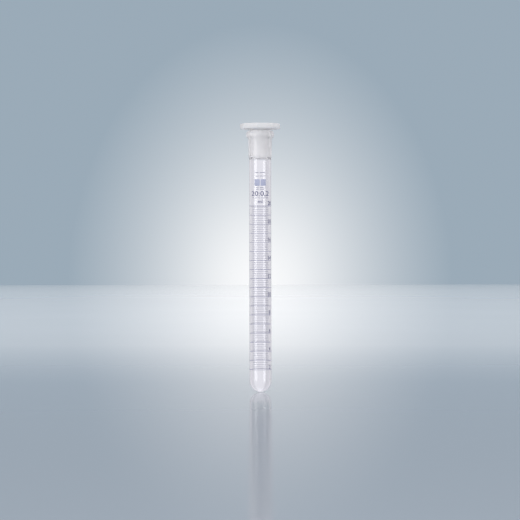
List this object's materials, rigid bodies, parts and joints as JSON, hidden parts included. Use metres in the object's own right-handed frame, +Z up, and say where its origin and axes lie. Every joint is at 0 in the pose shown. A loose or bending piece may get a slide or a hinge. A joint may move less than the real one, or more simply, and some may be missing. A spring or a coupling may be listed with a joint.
{
  "type": "graduated test tube",
  "caption": "Round-bottomed glass test tube with a blue fired scale and inscription, ground conical socket with beaded rim, closed by a pull-out octagonal plastic stopper.",
  "frame": {"origin": "on the tube's axis, at the lowest point of the round bottom", "axes": "+Z up along the axis towards the stopper; -Y is the front, where the scale and inscription face; +X is to the right of the front, where the numerals stand"},
  "size_m": [0.029, 0.029, 0.195],
  "materials": {
    "tube_glass": "clear borosilicate, finely ground inside the socket",
    "stopper_plastic": "natural white polyethylene, slightly translucent, satin",
    "scale_enamel": "fired blue enamel, thin"
  },
  "bodies": {
    "tube": {"glass_tube": "tube_glass", "graduation_rings": "scale_enamel", "short_marks": "scale_enamel", "unit_sign": "scale_enamel", "reference_line": "scale_enamel", "capacity_inscription": "scale_enamel", "lower_print_bars": "scale_enamel", "print_panels": "scale_enamel", "upper_print_bars": "scale_enamel", "numeral_02": "scale_enamel", "numeral_04": "scale_enamel", "numeral_06": "scale_enamel", "numeral_08": "scale_enamel", "numeral_10": "scale_enamel", "numeral_12": "scale_enamel", "numeral_14": "scale_enamel", "numeral_16": "scale_enamel", "numeral_18": "scale_enamel", "numeral_20": "scale_enamel"},
    "stopper": {"stopper": "stopper_plastic"}
  },
  "joints": [
    {"name": "stopper_lift", "type": "slide", "parent": "tube", "child": "stopper", "axis": [0, 0, 1], "range_m": [0, 0.06]}
  ]
}
